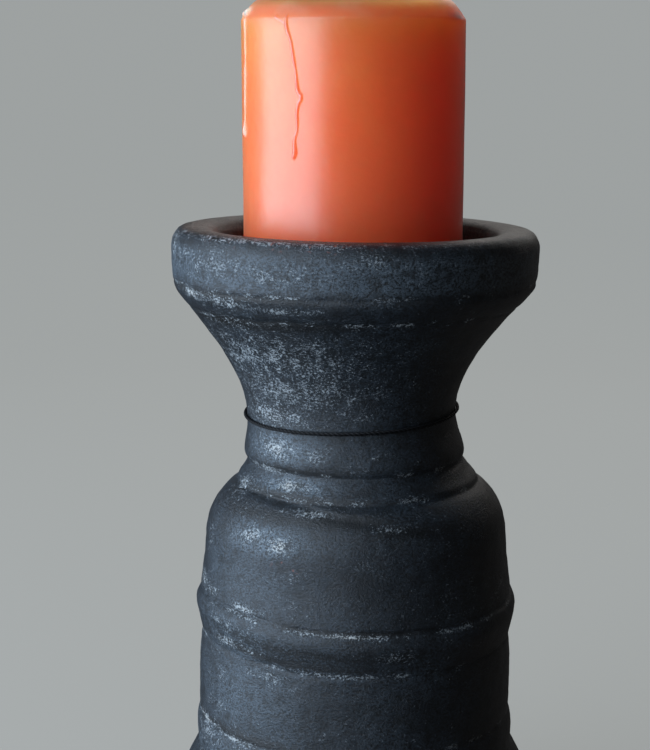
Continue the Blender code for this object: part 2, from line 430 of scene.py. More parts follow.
# Dried runs of wax, as (angle, height above the rim) from top to bottom.
MAIN_RUN = (
    (-35.6, 0.0640),
    (-35.5, 0.0610),
    (-33.0, 0.0568),
    (-31.5, 0.0520),
    (-30.0, 0.0470),
    (-29.3, 0.0428),
    (-27.2, 0.0407),
    (-28.8, 0.0386),
    (-29.6, 0.0358),
    (-29.4, 0.0315),
    (-31.0, 0.0282),
    (-30.8, 0.0248),
    (-31.5, 0.0234),
)
SIDE_BRANCH = ((-43.0, 0.0642), (-40.5, 0.0633), (-37.5, 0.0624), (-35.5, 0.0608))
LEFT_RUN = ((-72.0, 0.0655), (-72.4, 0.0515), (-73.5, 0.0400), (-74.0, 0.0320), (-73.5, 0.0290))
SPILL = ((-86.0, 0.0658), (-80.0, 0.0664), (-74.0, 0.0656))
RUN_HALF_WIDTH = 0.00048
RUN_HEIGHT = 0.00042

# A run's unevenness, the soft skirt beside it, and the bead that it ends in.
RUN_STEPS = 90
RUN_REACH = 0.003
RUN_SKIRT = 1.35
RUN_UNEVENNESS = 0.25
BEAD_PLACE = 0.97
BEAD_REACH = 0.05

# Wick.
WICK_RISE = 0.0125
WICK_CURL_RADIUS = 0.0045
WICK_CURL = 55
WICK_TWIST = (3, 0.00060, 0.00078, 0.0060, 12)
WICK_STEPS = 220
FRAY = 0.00025
FRAY_SIZE = 0.0008
FRAY_REACH = 0.006

# Felt pads under the foot.
PAD_RADIUS = 0.0045
PAD_THICKNESS = 0.0015
PAD_RING_RADIUS = 0.0515
PAD_COUNT = 4
PAD_EDGE = 0.0004
PAD_SPACING = 0.0004
PAD_SIDES = 72
FUZZ = 0.012
FUZZ_SIZE = 0.0007
FUZZ_REACH = 0.0008

# The place in the noise that each pattern is taken from.
SEED = {
    "lobe": 11.3,
    "lump": 4.7,
    "mark": 8.1,
    "wear": 14.2,
    "wander": 17.6,
    "grit": 21.5,
    "patch": 2.9,
    "break": 6.1,
    "sag": 3.3,
    "swell": 9.4,
    "ripple": 5.2,
    "dust": 7.7,
    "fray": 3.0,
    "fuzz": 1.7,
}

# Colours, as linear red, green, blue and opacity. A pair is what a pattern moves between.
SLIP = ((0.0095, 0.0135, 0.0190, 1), (0.0215, 0.0310, 0.0420, 1))
BROWN_CLAY = ((0.028, 0.0225, 0.0195, 1), (0.077, 0.062, 0.053, 1))
# The pale veil's colour, which also paints highlights on the lit left.
PALE_VEIL_AND_HIGHLIGHT = (0.090, 0.122, 0.154, 1)
BLOTCH = (0.0060, 0.0080, 0.0100, 1)
PIT = (0.0030, 0.0040, 0.0050, 1)
CHALK = ((0.290, 0.325, 0.350, 1), (0.450, 0.460, 0.450, 1))
RED_CLAY = (0.230, 0.065, 0.038, 1)
# Painted light: the wax is painted darker low down as shade and lighter at the top as glow from the light
# above.
LOW_ORANGE_PAINTED_SHADE = (0.900, 0.118, 0.036, 1)
TOP_ORANGE_PAINTED_GLOW = ((0.994, 0.150, 0.036, 1), (0.999, 0.176, 0.042, 1))
# The softened top's colour: a duller wax, painted darker as shade where the top faces the light.
DULL_TOP_WAX_AND_SHADE = (0.930, 0.100, 0.040, 1)
RUN_WAX = (0.960, 0.115, 0.048, 1)
WAX_BLOOM = (0.920, 0.560, 0.420, 1)
SOOT = (0.130, 0.026, 0.018, 1)
CORD_BLACK = ((0.002, 0.002, 0.0025, 1), (0.006, 0.0065, 0.008, 1))
CHAR_AND_ASH = ((0.010, 0.009, 0.008, 1), (0.140, 0.125, 0.110, 1))
FELT_GREY = ((0.040, 0.039, 0.037, 1), (0.150, 0.146, 0.140, 1))
TIN = ((0.620, 0.620, 0.600, 1), (0.420, 0.390, 0.340, 1))
STAGE_GREY = ((0.070, 0.067, 0.061, 1), (0.085, 0.081, 0.074, 1))
STAGE_GLOW = (0.95, 1.0, 0.99, 1.0)

# Camera.
CAMERA_DISTANCE = 0.55
CAMERA_ABOVE_RIM = 0.0496
CAMERA_LEFT = 0.0091
CAMERA_PITCH = 10
LENS_MM = 84

# Area lights: name, angle, distance, rise above what they aim at, size, power, colour. They aim at a share
# of the rim's height.
LIGHTS = (
    ("window", -70, 0.9, 0.20, (1.3, 1.1), 29.0, (0.72, 0.85, 1.0)),
    ("back_fill", 165, 1.0, 0.5, (0.9, 0.5), 1.7, (1.0, 0.97, 0.93)),
)
AIM = 0.6

# Even light from all round.
FILL_COLOUR = (1.0, 0.98, 0.96, 1.0)
FILL_LIGHT = 0.055

# Stage.
STAGE_MIDDLE_RADIUS = 0.02
STAGE_FLAT_RADIUS = 0.9
STAGE_RADIUS = 1.8
STAGE_HEIGHT = 2.2
STAGE_SIDES = 96


# --- Shapes ---


def smooth_run(points, steps=12):
    """The points joined by a Catmull-Rom curve, with that many pieces from each point to the next."""
    pts = [Vector(p) for p in points]
    padded = [2 * pts[0] - pts[1], *pts, 2 * pts[-1] - pts[-2]]
    run = []
    for a, b, c, d in zip(padded, padded[1:], padded[2:], padded[3:]):
        for i in range(steps):
            t = i / steps
            straight = 2 * b + (c - a) * t
            bend = (2 * a - 5 * b + 4 * c - d) * t**2 + (3 * b - 3 * c + d - a) * t**3
            run.append(0.5 * (straight + bend))
    return [*run, pts[-1]]


def evenly(points, spacing):
    """Points at about that spacing along a line, with both of its ends kept."""
    line = np.array([tuple(p) for p in points])
    along = np.concatenate([[0.0], np.cumsum(np.linalg.norm(np.diff(line, axis=0), axis=1))])
    count = max(2, round(along[-1] / spacing) + 1)
    places = np.linspace(0.0, along[-1], count)
    return np.stack([np.interp(places, along, column) for column in line.T], axis=1)


def graded(points):
    """Points along a (radius, drop) line, closer together where a groove crosses it."""
    line = evenly(points, MEASURE_SPACING)
    steps = np.linalg.norm(np.diff(line, axis=0), axis=1)
    to_groove = np.min([np.abs(line[1:, 1] - groove[0]) for groove in GROOVES], axis=0)
    spacing = np.where(to_groove < GROOVE_REACH, GROOVE_SPACING, FINE_SPACING)
    along = np.concatenate([[0.0], np.cumsum(steps / spacing)])
    places = np.linspace(0.0, along[-1], round(along[-1]) + 1)
    return np.stack([np.interp(places, along, column) for column in line.T], axis=1)


def quarter_arc(centre, radius, start, end, steps=8):
    angles = np.radians(np.linspace(start, end, steps))
    return np.stack([centre[0] + radius * np.cos(angles), centre[1] + radius * np.sin(angles)], axis=1)


def chained(*runs):
    """The runs end to end as one array, with each point that two runs share kept once."""
    chain = [runs[0]]
    for run in runs[1:]:
        shares = np.linalg.norm(run[0] - chain[-1][-1]) < 1e-6
        chain.append(run[1:] if shares else run)
    return np.concatenate(chain)


def noise_field(points, size, seed, stretch=(1.0, 1.0, 1.0)):
    """Smooth noise from about -1 to 1 at each point, whose features are about `size` across."""
    places = points / (size * np.array(stretch)) + seed
    return np.array([noise.noise(Vector(p)) for p in places])


def bell(x, centre, half_width):
    return np.exp(-(((x - centre) / half_width) ** 2))


def angle_gap(a, b):
    """How far angle a is from angle b, from -180 to 180."""
    return (a - b + 180) % 360 - 180


def ease(x, low, high):
    """0 below low, 1 above high, and smooth between them."""
    t = np.clip((x - low) / (high - low), 0, 1)
    return t * t * (3 - 2 * t)


def make_object(name, vertices, faces, material):
    mesh = bpy.data.meshes.new(name)
    mesh.from_pydata(vertices.tolist(), [], faces)
    mesh.materials.append(material)
    mesh.shade_smooth()
    mesh.validate()
    obj = bpy.data.objects.new(name, mesh)
    bpy.context.scene.collection.objects.link(obj)
    return obj


def ring_faces(rings, segments, first=0, closed=False):
    """Quads between neighbouring rings of a skin, whose rings follow each other in the vertex list."""
    faces = []
    for i in range(rings if closed else rings - 1):
        here = first + i * segments
        there = first + (i + 1) % rings * segments
        for j in range(segments):
            k = (j + 1) % segments
            faces.append((here + j, here + k, there + k, there + j))
    return faces


def skin(rings, closed=False, first=0):
    """Vertices and faces of a surface through an array of rings. Open ends are filled with a fan."""
    count, segments, _ = rings.shape
    vertices = rings.reshape(-1, 3)
    faces = ring_faces(count, segments, first, closed)
    if not closed:
        vertices = np.concatenate([vertices, rings[0].mean(0)[None], rings[-1].mean(0)[None]])
        start, end = first + count * segments, first + count * segments + 1
        last = first + (count - 1) * segments
        for j in range(segments):
            k = (j + 1) % segments
            faces.append((start, first + k, first + j))
            faces.append((end, last + j, last + k))
    return vertices, faces


def turned(outline, sides):
    """Rings of points, from (radius, z) points turned about +Z."""
    turn = np.linspace(0, 2 * math.pi, sides, endpoint=False)
    radius = outline[:, :1]
    z = np.broadcast_to(outline[:, 1:], (len(outline), sides))
    return np.stack([radius * np.cos(turn), radius * np.sin(turn), z], axis=-1)


def path_frames(path):
    """Two directions across the path at each of its points, carried along it without twisting."""
    tangents = np.gradient(path, axis=0)
    tangents /= np.linalg.norm(tangents, axis=1)[:, None]
    guide = np.array((0.0, 0.0, 1.0)) if abs(tangents[0][2]) < 0.9 else np.array((1.0, 0.0, 0.0))
    firsts = []
    for tangent in tangents:
        guide = guide - tangent * guide.dot(tangent)
        guide = guide / np.linalg.norm(guide)
        firsts.append(guide)
    firsts = np.array(firsts)
    return firsts, np.cross(tangents, firsts)


def twisted_strands(path, strands, offset, radius, pitch, sides):
    """Vertices and faces of a rope of round strands that wind about a path."""
    across, up = path_frames(path)
    along = np.concatenate([[0.0], np.cumsum(np.linalg.norm(np.diff(path, axis=0), axis=1))])
    all_vertices, all_faces, first = [], [], 0
    for s in range(strands):
        turn = 2 * math.pi * (along / pitch + s / strands)
        middle = path + offset * (np.cos(turn)[:, None] * across + np.sin(turn)[:, None] * up)
        side_across, side_up = path_frames(middle)
        around = np.linspace(0, 2 * math.pi, sides, endpoint=False)[None, :, None]
        circles = np.cos(around) * side_across[:, None] + np.sin(around) * side_up[:, None]
        vertices, faces = skin(middle[:, None] + radius * circles, first=first)
        all_vertices.append(vertices)
        all_faces += faces
        first += len(vertices)
    return np.concatenate(all_vertices), all_faces


# --- Materials ---


def add_node(tree, kind, inputs=None, **settings):
    """A node whose inputs are set from numbers or linked from other nodes' outputs."""
    node = tree.nodes.new(kind)
    for name, value in settings.items():
        setattr(node, name, value)
    for socket, value in (inputs or {}).items():
        if isinstance(value, bpy.types.NodeSocket):
            tree.links.new(value, node.inputs[socket])
        else:
            node.inputs[socket].default_value = value
    return node


def new_material(name, **constants):
    """A material, its node tree and its Principled shader, with the constants set on the shader."""
    material = bpy.data.materials.new(name)
    material.use_nodes = True
    shader = material.node_tree.nodes["Principled BSDF"]
    for socket, value in constants.items():
        shader.inputs[socket.replace("_", " ")].default_value = value
    return material, material.node_tree, shader


def object_coordinates(tree, scale=(1.0, 1.0, 1.0)):
    place = add_node(tree, "ShaderNodeTexCoord").outputs["Object"]
    return add_node(tree, "ShaderNodeMapping", {"Vector": place, "Scale": scale}).outputs["Vector"]


def noise_texture(tree, vector, size, detail=2.0, roughness=0.5, distortion=0.0):
    """Noise from 0 to 1, whose largest features are about `size` metres across."""
    inputs = {
        "Vector": vector,
        "Scale": 1 / size,
        "Detail": detail,
        "Roughness": roughness,
        "Distortion": distortion,
    }
    return add_node(tree, "ShaderNodeTexNoise", inputs).outputs["Fac"]


def step_up(tree, value, low, high, top=1.0):
    """0 where the value is below low, `top` where it is above high, and smooth between them."""
    inputs = {"Value": value, "From Min": low, "From Max": high, "To Min": 0.0, "To Max": top}
    return add_node(tree, "ShaderNodeMapRange", inputs, interpolation_type="SMOOTHSTEP").outputs["Result"]


def calculate(tree, operation, a, b):
    return add_node(tree, "ShaderNodeMath", {0: a, 1: b}, operation=operation).outputs["Value"]


def mixed(tree, factor, a, b):
    """Colour a where the factor is 0, and colour b where it is 1."""
    return add_node(tree, "ShaderNodeMix", {0: factor, 6: a, 7: b}, data_type="RGBA").outputs[2]


def attribute(tree, name):
    return add_node(tree, "ShaderNodeAttribute", attribute_name=name).outputs["Fac"]


def bump(tree, height, distance, strength, normal=None):
    inputs = {"Height": height, "Distance": distance, "Strength": strength}
    if normal is not None:
        inputs["Normal"] = normal
    return add_node(tree, "ShaderNodeBump", inputs).outputs["Normal"]


def plus_share(tree, base, value, share):
    """The base, plus that share of the value."""
    return calculate(tree, "ADD", base, calculate(tree, "MULTIPLY", value, share))


def finish_shader(tree, shader, colour, roughness, normal):
    for socket, value in (("Base Color", colour), ("Roughness", roughness), ("Normal", normal)):
        tree.links.new(value, shader.inputs[socket])


def ceramic_material():
    """Dark slate clay with a mottled slip, pits, pale dry-brushed flecks and a browner dish, with painted
    highlights on the lit left and painted shade in the creases.
    """
    material, tree, shader = new_material("slate_ceramic_finish", Specular_IOR_Level=0.42)
    place = object_coordinates(tree)
    flat_place = object_coordinates(tree, (1.0, 1.0, 1.4))
    mottle = noise_texture(tree, place, size=0.018, detail=4.0, roughness=0.6)
    blotch = noise_texture(tree, flat_place, size=0.0042, detail=4.0, roughness=0.65)
    grain = noise_texture(tree, flat_place, size=0.0008, detail=4.0, roughness=0.75)
    curls = noise_texture(tree, flat_place, size=0.0017, detail=2.0, roughness=0.55, distortion=1.6)
    # The brushed colour also paints highlights on the lit left.
    brush_and_highlight = attribute(tree, "dry_brush_and_highlight")

    slip = mixed(tree, step_up(tree, mottle, 0.35, 0.68), *SLIP)
    brown = mixed(tree, step_up(tree, mottle, 0.35, 0.65), *BROWN_CLAY)
    clay = mixed(tree, attribute(tree, "browned"), slip, brown)
    # The veil also paints highlights on the lit left, besides a pale veil.
    veiled_and_lit = mixed(tree, attribute(tree, "veil_and_highlight"), clay, PALE_VEIL_AND_HIGHLIGHT)
    blotched = mixed(tree, step_up(tree, blotch, 0.50, 0.36, 0.65), veiled_and_lit, BLOTCH)
    # More dark pits in the crevices, which paints shade into the creases.
    crowding_and_crease_shade = calculate(tree, "MULTIPLY", attribute(tree, "pits_and_crease_shade"), 0.17)
    pits = step_up(tree, calculate(tree, "SUBTRACT", grain, crowding_and_crease_shade), 0.51, 0.43, 0.95)
    pits_and_crease_shade = mixed(tree, pits, blotched, PIT)

    ridge = calculate(tree, "ABSOLUTE", calculate(tree, "SUBTRACT", curls, 0.5), 0.0)
    wisps = calculate(tree, "MULTIPLY", calculate(tree, "SUBTRACT", 0.12, ridge), 1.6)
    patchy = calculate(tree, "MULTIPLY", calculate(tree, "SUBTRACT", blotch, 0.5), 0.45)
    caught = calculate(tree, "ADD", calculate(tree, "ADD", wisps, patchy), grain)
    reach = calculate(tree, "ADD", calculate(tree, "MULTIPLY", brush_and_highlight, 0.27), caught)
    flecks = step_up(tree, reach, 0.81, 0.92)
    chalk = mixed(tree, step_up(tree, brush_and_highlight, 0.75, 1.2), *CHALK)
    brushed = mixed(tree, flecks, pits_and_crease_shade, chalk)

    specks = noise_texture(tree, place, size=0.0016, detail=1.0)
    bare = calculate(tree, "MULTIPLY", step_up(tree, specks, 0.66, 0.72), attribute(tree, "bare_clay"))
    colour = mixed(tree, bare, brushed, RED_CLAY)

    dull = plus_share(tree, 0.32, grain, 0.24)
    lumpy = bump(tree, blotch, distance=0.0006, strength=0.22)
    fine = bump(tree, grain, distance=0.00045, strength=0.80, normal=lumpy)
    raised = bump(tree, flecks, distance=0.00012, strength=0.6, normal=fine)
    finish_shader(tree, shader, colour, dull, raised)
    return material


def wax_material():
    """Orange wax, lit from within, with a satin skin, slight bloom and a sooty melt pool; its colour is
    painted lighter at the top as glow and darker low down as shade, and its duller softened top is painted
    darker as shade.
    """
    material, tree, shader = new_material(
        "orange_wax_finish",
        Subsurface_Weight=1.0,
        Subsurface_Radius=(1.0, 0.40, 0.22),
        Subsurface_Scale=0.140,
        Specular_IOR_Level=0.50,
        Coat_Roughness=0.27,
        Sheen_Weight=0.12,
        Sheen_Roughness=0.40,
        Sheen_Tint=(0.75, 0.88, 1.0, 1.0),
    )
    place = object_coordinates(tree)
    cloud = noise_texture(tree, place, size=0.022, detail=3.0, roughness=0.55)
    fine = noise_texture(tree, place, size=0.0016, detail=3.0, roughness=0.6)
    # Painted light: lighter orange at the top as glow, darker lower down as shade.
    clear = mixed(tree, step_up(tree, cloud, 0.3, 0.7), *TOP_ORANGE_PAINTED_GLOW)
    wax = mixed(tree, attribute(tree, "painted_top_glow"), LOW_ORANGE_PAINTED_SHADE, clear)
    # The softened top is duller and is also painted darker as shade.
    dulled_and_shaded = attribute(tree, "dulled_and_shaded")
    shaded_top = mixed(tree, dulled_and_shaded, wax, DULL_TOP_WAX_AND_SHADE)
    run = attribute(tree, "wax_run")
    runs = mixed(tree, run, shaded_top, RUN_WAX)
    bloomed = mixed(tree, attribute(tree, "bloom"), runs, WAX_BLOOM)
    colour = mixed(tree, attribute(tree, "soot"), bloomed, SOOT)
    satin = plus_share(tree, 0.30, fine, 0.16)
    dull = plus_share(tree, satin, dulled_and_shaded, 0.25)
    glaze = calculate(tree, "SUBTRACT", 0.33, calculate(tree, "MULTIPLY", dulled_and_shaded, 0.30))
    glazed = plus_share(tree, glaze, run, 0.50)
    tree.links.new(glazed, shader.inputs["Coat Weight"])
    waved = bump(tree, cloud, distance=0.0015, strength=0.30)
    pebbled = bump(tree, fine, distance=0.00006, strength=0.8, normal=waved)
    finish_shader(tree, shader, colour, dull, pebbled)
    return material


def cord_material():
    """Waxed black cotton."""
    material, tree, shader = new_material("black_cord_finish", Specular_IOR_Level=0.20)
    place = object_coordinates(tree)
    fibre = noise_texture(tree, place, size=0.00022, detail=2.0, roughness=0.6)
    colour = mixed(tree, fibre, *CORD_BLACK)
    dull = plus_share(tree, 0.50, fibre, 0.30)
    finish_shader(tree, shader, colour, dull, bump(tree, fibre, distance=0.00008, strength=0.8))
    return material


def wick_material():
    """Burnt cotton with grey ash on its high fibres."""
    material, tree, shader = new_material("burnt_cotton_finish")
    place = object_coordinates(tree)
    fibre = noise_texture(tree, place, size=0.00035, detail=3.0, roughness=0.65)
    ash = step_up(tree, fibre, 0.55, 0.72)
    colour = mixed(tree, ash, *CHAR_AND_ASH)
    dull = plus_share(tree, 0.75, fibre, 0.20)
    finish_shader(tree, shader, colour, dull, bump(tree, fibre, distance=0.00020, strength=1.0))
    return material


def felt_material():
    """Pressed grey felt, with short fibres and a soft sheen."""
    material, tree, shader = new_material("grey_felt_finish", Sheen_Weight=0.4, Sheen_Roughness=0.6)
    place = object_coordinates(tree)
    fibre = noise_texture(tree, place, size=0.00030, detail=4.0, roughness=0.7, distortion=2.5)
    colour = mixed(tree, fibre, *FELT_GREY)
    dull = plus_share(tree, 0.85, fibre, 0.12)
    finish_shader(tree, shader, colour, dull, bump(tree, fibre, distance=0.00020, strength=1.0))
    return material


def tin_material():
    """Tinned steel with fine rolling marks and dull wax-stained areas."""
    material, tree, shader = new_material("tinned_steel_finish", Metallic=1.0)
    rolled = object_coordinates(tree, (1.0, 14.0, 1.0))
    marks = noise_texture(tree, rolled, size=0.004, detail=3.0)
    stain = noise_texture(tree, object_coordinates(tree), size=0.003, detail=3.0)
    colour = mixed(tree, step_up(tree, stain, 0.45, 0.7), *TIN)
    dull = plus_share(tree, 0.22, stain, 0.30)
    finish_shader(tree, shader, colour, dull, bump(tree, marks, distance=0.00003, strength=0.6))
    return material


# --- Ceramic holder ---


def holder_outline():
    """(radius, drop) of every ring from the middle of the dish, over the rim, down to the foot and back up
    the inside; how freely each ring may stray from its true place; and which rings are on the inside."""
    fillet = quarter_arc((DISH_RADIUS - DISH_FILLET, DISH_DROP - DISH_FILLET), DISH_FILLET, 90, 0)
    floor = evenly([(MIDDLE_RADIUS, DISH_DROP), fillet[0]], FLOOR_SPACING)
    wall = evenly([fillet[-1], OUTSIDE["rim_band"][0]], FINE_SPACING)
    profile = chained(*[evenly(smooth_run(section), TRACE_SPACING) for section in OUTSIDE.values()])
    outside = chained(fillet, wall, graded(profile))
    foot = evenly([OUTSIDE["foot_flare"][-1], (FOOT_INNER_RADIUS, HOLDER_HEIGHT)], FLOOR_SPACING)[1:]
    ceiling = evenly([HOLLOW[-1], (MIDDLE_RADIUS, UNDER_DISH_DROP)], COARSE_SPACING)[1:]
    hollow = np.concatenate([evenly(smooth_run(HOLLOW), COARSE_SPACING), ceiling])
    outline = np.concatenate([floor[:-1], outside, foot, hollow])
    free = np.zeros(len(outline))
    free[len(floor) - 1 : len(floor) - 1 + len(outside)] = 1.0
    near_dish_floor = ease(DISH_DROP - outline[:, 1], 0.0, DISH_TRUE_HEIGHT)
    free[: len(floor) + len(fillet)] *= near_dish_floor[: len(floor) + len(fillet)]
    free *= 1 - ease(outline[:, 1], HOLDER_HEIGHT - FOOT_TRUE_HEIGHT, HOLDER_HEIGHT)
    inside = np.arange(len(outline)) >= len(outline) - len(hollow)
    return outline, free, inside


def strayed(radius, drop, angle, free):
    """Points of the real, hand-thrown surface for places on the true one. All four are arrays."""
    turn = np.radians(angle)
    true = np.stack([radius * np.sin(turn), -radius * np.cos(turn), -drop], axis=-1)
    swell = LOBE_HEIGHT * noise_field(true, LOBE_SIZE, SEED["lobe"])
    swell += LUMP_HEIGHT * noise_field(true, LUMP_SIZE, SEED["lump"])
    swell += MARK_HEIGHT * noise_field(true, 1.0, SEED["mark"], (MARK_WIDTH, MARK_WIDTH, MARK_PITCH))
    spiral_angles, spiral_drops = np.array(SPIRAL).T
    spiral = bell(drop, np.interp(angle, spiral_angles, spiral_drops), SPIRAL_WIDTH)
    spiral *= ease(angle, *SPIRAL_FADES_IN) * (1 - ease(angle, *SPIRAL_FADES_OUT))
    swell -= SPIRAL_DEPTH * spiral
    worn = GROOVE_WEAR + GROOVE_WEAR_SPREAD * noise_field(true, GROOVE_WEAR_SIZE, SEED["wear"])
    ragged = drop + GROOVE_WANDER * noise_field(true, GROOVE_WANDER_SIZE, SEED["wander"])
    for groove_drop, depth, half_width in GROOVES:
        swell -= depth * worn * bell(ragged, groove_drop, half_width)
    swell += GRIT_HEIGHT * noise_field(true, GRIT_SIZE, SEED["grit"])
    wander_angles, wander = np.array(BELT_WANDER).T
    sunk = np.interp(angle, wander_angles, wander) * bell(drop, BELT_MIDDLE_DROP, BELT_REACH)
    lean_drops, lean = np.array(LEAN).T
    real_radius = radius + free * swell
    x = real_radius * np.sin(turn) + np.interp(drop, lean_drops, lean)
    tilt = -RIM_TILT * x / DISH_RADIUS * (1 - ease(drop, 0.0, RIM_TILT_REACH))
    return np.stack([x, -real_radius * np.cos(turn), RIM_Z - drop + free * (tilt - sunk)], axis=-1)


def elliptic_patches(angle, drop, patches):
    """The strongest of several soft-edged patches at each place."""
    strongest = np.zeros(len(angle))
    for middle, middle_drop, half_angle, half_drop, strength in patches:
        patch = bell(angle_gap(angle, middle), 0, half_angle) * bell(drop, middle_drop, half_drop)
        strongest = np.maximum(strongest, strength * patch)
    return strongest


def soft_spot(angle, height, spot):
    """A spot that fades out from its middle."""
    middle, middle_height, half_angle, half_height, strength = spot
    return strength * bell(angle, middle, half_angle) * bell(height, middle_height, half_height)


def dry_brush_and_highlight(radius, drop, angle):
    """How much of the pale brushed colour each place on the holder caught, from 0 to about 1.3; on the lit
    left it also paints highlights.
    """
    turn = np.radians(angle)
    place = np.stack([radius * np.sin(turn), -radius * np.cos(turn), -drop], axis=-1)
    caught = elliptic_patches(angle, drop, BRUSHED_AND_PAINTED_HIGHLIGHTS)
    patches = noise_field(place, PATCH_SIZE, SEED["patch"], (PATCH_STRETCH, PATCH_STRETCH, 1.0))
    broken = ease(noise_field(place, BREAK_SIZE, SEED["break"]), -0.2, 0.35)
    on_creases = sum(bell(drop, crease, CATCHING_WIDTH) for crease in CATCHING_DROPS)
    caught = np.maximum(caught, CATCHING_STRENGTH * on_creases * broken)
    elsewhere = 1 - FRONT_CALM * bell(angle, 0, FRONT_HALF_WIDTH)
    caught = np.maximum(caught, PATCH_STRENGTH * elsewhere * ease(patches, 0.0, 0.50))
    return caught + FAINT_CATCH * broken


def set_attribute(mesh, name, values):
    layer = mesh.attributes.new(name, "FLOAT", "POINT")
    padded = np.zeros(len(mesh.vertices), np.float32)
    padded[: len(values)] = values
    layer.data.foreach_set("value", padded)


def make_holder(material):
    outline, free, inside = holder_outline()
    angles = np.linspace(-180, 180, HOLDER_SEGMENTS, endpoint=False)
    shape = (len(outline), HOLDER_SEGMENTS)
    radius = np.broadcast_to(outline[:, :1], shape).ravel()
    drop = np.broadcast_to(outline[:, 1:], shape).ravel()
    angle = np.broadcast_to(angles, shape).ravel()
    stray = np.broadcast_to(free[:, None], shape).ravel()
    points = strayed(radius, drop, angle, stray)
    vertices, faces = skin(points.reshape(*shape, 3))
    holder = make_object("holder_ceramic", vertices, faces, material)

    inside_dish = (drop < DISH_DROP + 0.001) & (radius < BROWN_DISH_RADIUS)
    on_top = ease(BROWN_TOP_RADIUS - radius, 0.0, BROWN_TOP_FADE) * (1 - ease(drop, *BROWN_TOP_DROPS))
    browned = np.maximum(inside_dish.astype(float), on_top) * (drop < BROWN_LOWEST_DROP)
    hollow = np.broadcast_to(inside[:, None], shape).ravel()
    # The brushed colour also paints highlights on the lit left.
    brush_and_highlight = dry_brush_and_highlight(radius, drop, angle)
    band = ease(drop, *BAND_VEIL_BEGINS) * (1 - ease(drop, *BAND_VEIL_ENDS)) * (radius > BAND_RADIUS)
    set_attribute(holder.data, "dry_brush_and_highlight", brush_and_highlight * (1 - BROWN_HIDES_BRUSH * browned))
    # The crowded pits paint shade into the creases.
    set_attribute(holder.data, "pits_and_crease_shade", elliptic_patches(angle, drop, PITS_AND_CREASE_SHADE))
    # The veil paints highlights on the lit left, besides the band's and the brush's pale veil.
    veil_and_highlight = np.maximum(BAND_VEIL * band, elliptic_patches(angle, drop, VEILED_AND_PAINTED_HIGHLIGHTS))
    set_attribute(holder.data, "veil_and_highlight", np.clip(veil_and_highlight + VEIL_FROM_BRUSH * brush_and_highlight, 0, 1) * (1 - browned))
    set_attribute(holder.data, "browned", np.maximum(browned, hollow))
    rim_front = soft_spot(angle, drop, BARE_RIM) * (radius > BAND_RADIUS)
    chipped = soft_spot(angle, drop, BARE_CHIP)
    set_attribute(holder.data, "bare_clay", np.maximum(rim_front, chipped))
    return holder


# --- Cord ---


def neck_surface(angle, drop):
    """Points of the holder's real surface on the neck."""
    outline = evenly(smooth_run(OUTSIDE["bowl_and_neck"]), FINE_SPACING)
    radius = np.interp(drop, outline[:, 1], outline[:, 0])
    return strayed(radius, drop, angle, np.ones(len(angle)))


def cord_drop(angle):
    """How far below the rim the cord's centre is."""
    turn = np.radians(angle)
    return CORD_DROP - CORD_LEAN_LEFT * np.sin(turn) + CORD_LEAN_FRONT * np.cos(turn)


def cord_path():
    """The loop's centreline, from one side of the knot at the back round to its other side."""
    half_opening = math.degrees(KNOT_HALF_WIDTH / CORD_RING_RADIUS)
    angle = np.linspace(180 - half_opening, -180 + half_opening, CORD_POINTS)
    points = neck_surface(angle, cord_drop(angle))
    turn = np.radians(angle)
    outward = np.stack([np.sin(turn), -np.cos(turn), np.zeros(CORD_POINTS)], axis=1)
    return points + CORD_RADIUS * outward


def refined(path, steps):
    """The same line with `steps` points, smooth between the given ones."""
    dense = smooth_run(path, steps=max(2, math.ceil(steps / len(path)) + 1))
    line = np.array([tuple(p) for p in dense])
    length = np.linalg.norm(np.diff(line, axis=0), axis=1).sum()
    return evenly(line, length / (steps - 1))


def make_cord(path, material):
    line = refined(path, CORD_STEPS)
    vertices, faces = twisted_strands(line, *CORD_TWIST)
    return make_object("neck_cord_twist", vertices, faces, material)


def knot_paths():
    """An overhand knot against the back of the neck, and two short tails that hang from it."""
    drop = float(cord_drop(np.array([180.0]))[0])
    back = neck_surface(np.array([180.0]), np.array([drop]))[0]
    middle = back + np.array((0.0, KNOT_BEHIND, 0.0))
    turns = np.linspace(0, 2 * math.pi, KNOT_POINTS)
    across = np.sin(turns) + 2 * np.sin(2 * turns)
    up = np.cos(turns) - 2 * np.cos(2 * turns)
    out = -np.sin(3 * turns)
    paths = [middle + np.stack([across, out, up], axis=1) * KNOT_LOOP]
    for side in (-1, 1):
        fall = np.linspace(0, 1, TAIL_POINTS)
        at_start, steady, growing = TAIL_SPREAD
        angle = 180 + side * (at_start + steady * fall + growing * fall**2)
        hang = drop + TAIL_BELOW + TAIL_LENGTH * TAIL_FALL * fall
        surface = neck_surface(angle_gap(angle, 0), hang)
        turn = np.radians(angle)
        outward = np.stack([np.sin(turn), -np.cos(turn), np.zeros(len(fall))], axis=1)
        clear = CORD_RADIUS + TAIL_STAND_OFF * (1 - fall) ** 2
        paths.append(surface + clear[:, None] * outward)
    return paths


def make_knot(material):
    all_vertices, all_faces, first = [], [], 0
    for path in knot_paths():
        line = refined(path, KNOT_STEPS)
        vertices, faces = twisted_strands(line, *CORD_TWIST)
        all_vertices.append(vertices)
        all_faces += [tuple(i + first for i in face) for face in faces]
        first += len(vertices)
    return make_object("neck_cord_knot_tied", np.concatenate(all_vertices), all_faces, material)


# --- Candle ---


